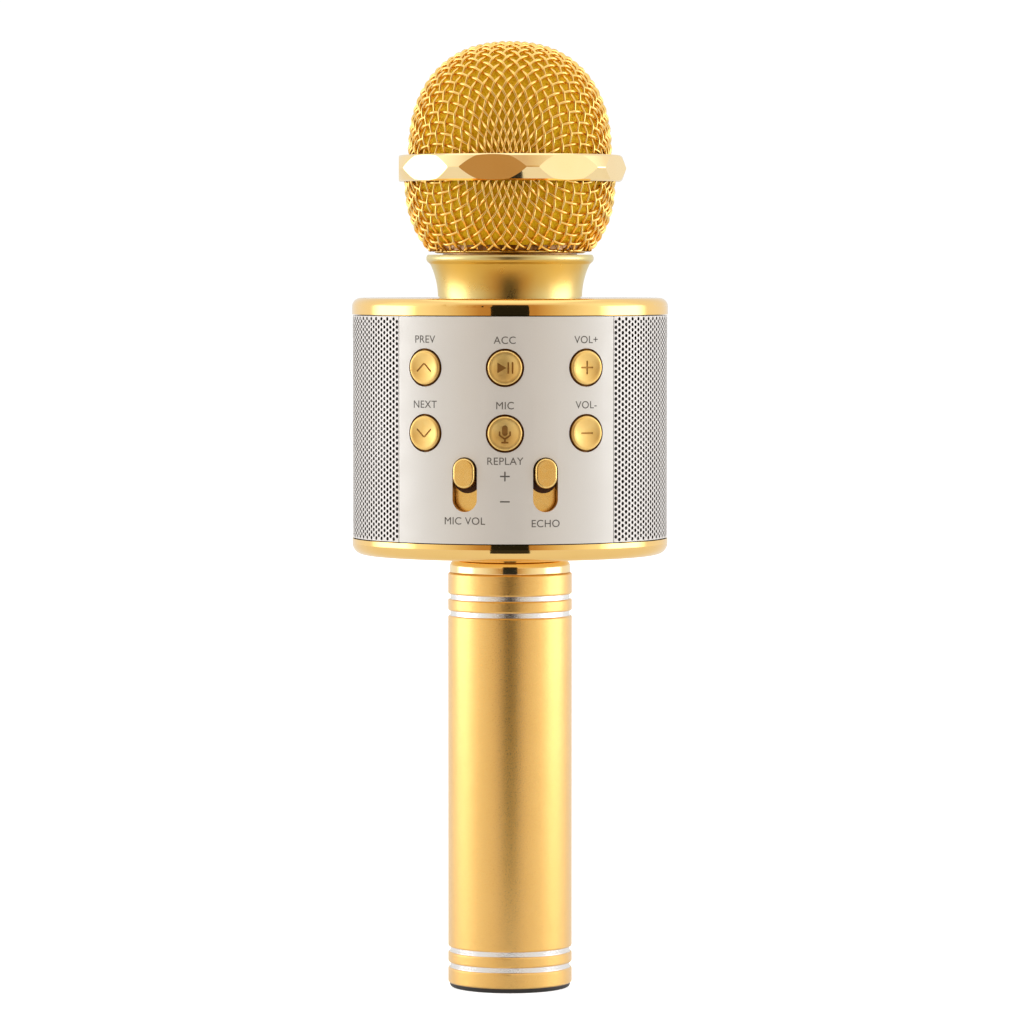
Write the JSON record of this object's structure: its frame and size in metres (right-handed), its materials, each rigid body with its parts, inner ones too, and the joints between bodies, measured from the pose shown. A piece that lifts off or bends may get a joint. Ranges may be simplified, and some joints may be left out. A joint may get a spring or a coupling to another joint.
{
  "type": "karaoke microphone",
  "caption": "Hand-held wireless karaoke microphone: gold wire-mesh head, silver loudspeaker drum with push buttons and sliders, slim gold handle.",
  "frame": {"origin": "centre of the flat face at the handle's lower end", "axes": "+Z along the microphone's axis towards the head; -Y is the way the control panel looks; +X to the right of someone who looks at the panel"},
  "size_m": [0.08, 0.0814, 0.24],
  "materials": {
    "gold_chrome": "bright gold plated plastic",
    "gold_band": "bright gold plated metal",
    "gold_satin": "satin gold anodised, sand-blasted",
    "gold_wire": "shiny gold wire",
    "gold_foam": "open-cell yellow foam",
    "panel_paint": "satin warm silver paint",
    "grille_steel": "perforated silver sheet",
    "black_plastic": "fine matt",
    "black_rubber": "matt",
    "board_green": "solder mask",
    "chip_black": "moulded epoxy",
    "plated_steel": "nickel plated",
    "ferrite": "zinc plated steel over ferrite",
    "paper_cone": "pressed paper",
    "cell_sleeve": "shrink sleeve",
    "lamp_plastic": "frosted light guide"
  },
  "bodies": {
    "head": {"upper_basket": "gold_wire", "lower_basket": "gold_wire", "band_ring": "gold_band", "foam_liner": "gold_foam", "head_ring": "gold_satin"},
    "body": {"top_cap": "gold_chrome", "bottom_cap": "gold_chrome", "front_panel": "panel_paint", "rear_panel": "panel_paint", "left_grille": "grille_steel", "right_grille": "grille_steel", "chassis": "black_plastic", "left_speaker_frame": "plated_steel", "right_speaker_frame": "plated_steel", "left_speaker_magnet": "ferrite", "right_speaker_magnet": "ferrite", "left_speaker_cone": "paper_cone", "right_speaker_cone": "paper_cone", "control_carrier": "black_plastic", "key_switches": "black_plastic", "microphone_volume_pot": "plated_steel", "echo_pot": "plated_steel", "port_board": "board_green", "usb_socket": "plated_steel", "aux_jack": "black_plastic", "card_socket": "plated_steel", "status_lamp": "lamp_plastic", "power_switch": "plated_steel", "rear_screws": "plated_steel", "main_board": "board_green", "board_chips": "chip_black", "neck_collar": "gold_satin", "capsule_holder": "black_rubber", "capsule": "plated_steel", "handle_tube": "gold_satin", "handle_collar": "gold_band", "handle_insert": "black_plastic", "battery_cell": "cell_sleeve", "battery_cradle": "black_plastic", "end_cap": "black_plastic"},
    "power_slide": {"power_knob": "black_plastic"},
    "previous_key": {"previous_button": "gold_chrome", "previous_plunger": "chip_black"},
    "play_pause_key": {"play_pause_button": "gold_chrome", "play_pause_plunger": "chip_black"},
    "volume_up_key": {"volume_up_button": "gold_chrome", "volume_up_plunger": "chip_black"},
    "next_key": {"next_button": "gold_chrome", "next_plunger": "chip_black"},
    "microphone_key": {"microphone_button": "gold_chrome", "microphone_plunger": "chip_black"},
    "volume_down_key": {"volume_down_button": "gold_chrome", "volume_down_plunger": "chip_black"},
    "microphone_volume_slider": {"microphone_volume_knob": "gold_chrome", "microphone_volume_lever": "plated_steel"},
    "echo_slider": {"echo_knob": "gold_chrome", "echo_lever": "plated_steel"}
  },
  "joints": [
    {"name": "head_lift", "type": "slide", "parent": "body", "child": "head", "axis": [0, 0, 1], "range_m": [0, 0.04]},
    {"name": "previous_press", "type": "slide", "parent": "body", "child": "previous_key", "axis": [0.5, 0.866, 0], "range_m": [0, 0.0005], "stiffness_N_per_m": 1600, "springref_m": -0.0005},
    {"name": "play_pause_press", "type": "slide", "parent": "body", "child": "play_pause_key", "axis": [0, 1, 0], "range_m": [0, 0.0005], "stiffness_N_per_m": 1600, "springref_m": -0.0005},
    {"name": "volume_up_press", "type": "slide", "parent": "body", "child": "volume_up_key", "axis": [-0.5, 0.866, 0], "range_m": [0, 0.0005], "stiffness_N_per_m": 1600, "springref_m": -0.0005},
    {"name": "next_press", "type": "slide", "parent": "body", "child": "next_key", "axis": [0.5, 0.866, 0], "range_m": [0, 0.0005], "stiffness_N_per_m": 1600, "springref_m": -0.0005},
    {"name": "microphone_press", "type": "slide", "parent": "body", "child": "microphone_key", "axis": [0, 1, 0], "range_m": [0, 0.0005], "stiffness_N_per_m": 1600, "springref_m": -0.0005},
    {"name": "volume_down_press", "type": "slide", "parent": "body", "child": "volume_down_key", "axis": [-0.5, 0.866, 0], "range_m": [0, 0.0005], "stiffness_N_per_m": 1600, "springref_m": -0.0005},
    {"name": "microphone_volume_slide", "type": "slide", "parent": "body", "child": "microphone_volume_slider", "axis": [0, 0, 1], "range_m": [-0.0054, 0]},
    {"name": "echo_slide", "type": "slide", "parent": "body", "child": "echo_slider", "axis": [0, 0, 1], "range_m": [-0.0054, 0]},
    {"name": "power_slide", "type": "slide", "parent": "body", "child": "power_slide", "axis": [0, 0, 1], "range_m": [-0.004, 0]}
  ]
}
